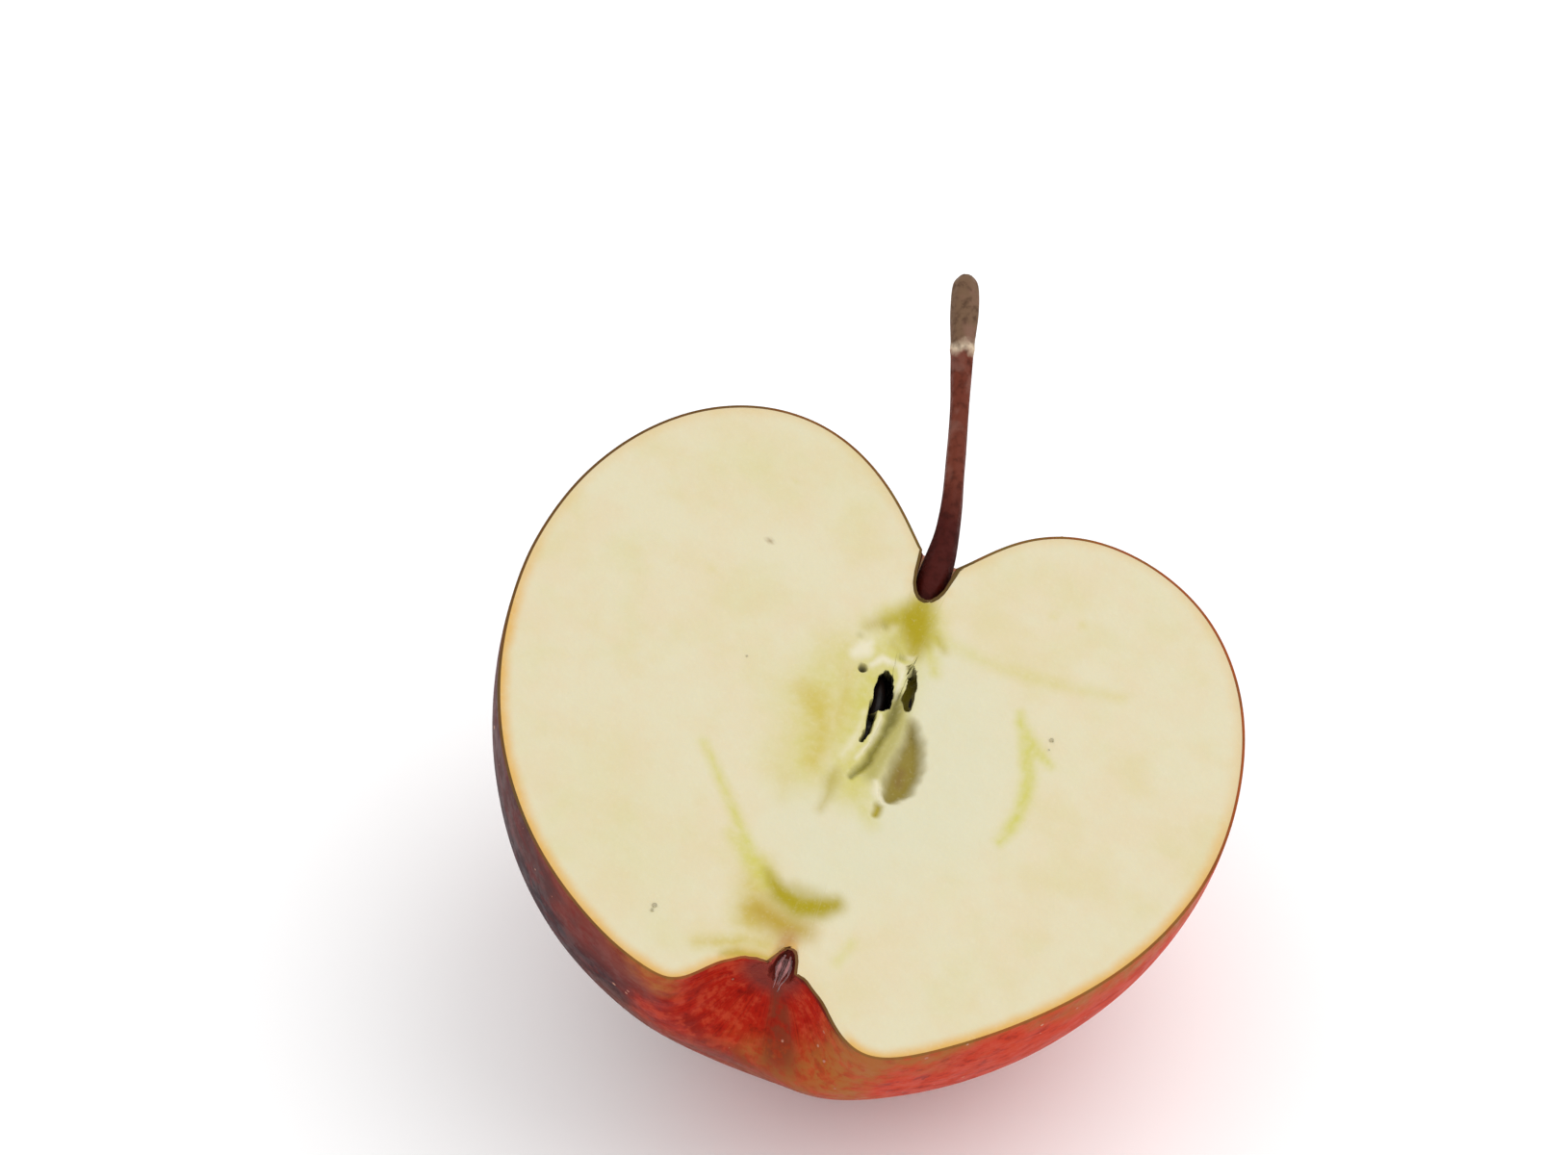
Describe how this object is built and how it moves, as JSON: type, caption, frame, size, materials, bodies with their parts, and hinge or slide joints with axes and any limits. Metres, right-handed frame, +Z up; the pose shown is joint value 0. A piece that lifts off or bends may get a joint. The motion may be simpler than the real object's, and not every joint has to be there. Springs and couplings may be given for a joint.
{
  "type": "apple half",
  "caption": "Half of a fresh apple cut from stem to blossom end, with its stem, core pockets and seeds, resting on its round back with the cut face up.",
  "frame": {"origin": "on the table surface, in the small flat spot on the round back that the half rests on", "axes": "+Z up out of the table, +Y towards the stem end seen from above, +X to the right of the stem, so the cut face looks up and about 16 degrees towards -Y and +X"},
  "size_m": [0.0723, 0.0823, 0.0562],
  "materials": {
    "flesh": "moist cream white cut flesh",
    "skin": "waxy deep red skin with russet and ochre at the ends",
    "stem": "dull dark maroon brown bark",
    "seed": "smooth dark brown",
    "sepal": "dry greyish brown"
  },
  "bodies": {
    "root": {"fruit_half": "flesh", "stem": "stem", "seed_main": "seed", "seed_side": "seed", "calyx_tuft": "sepal"}
  },
  "joints": []
}
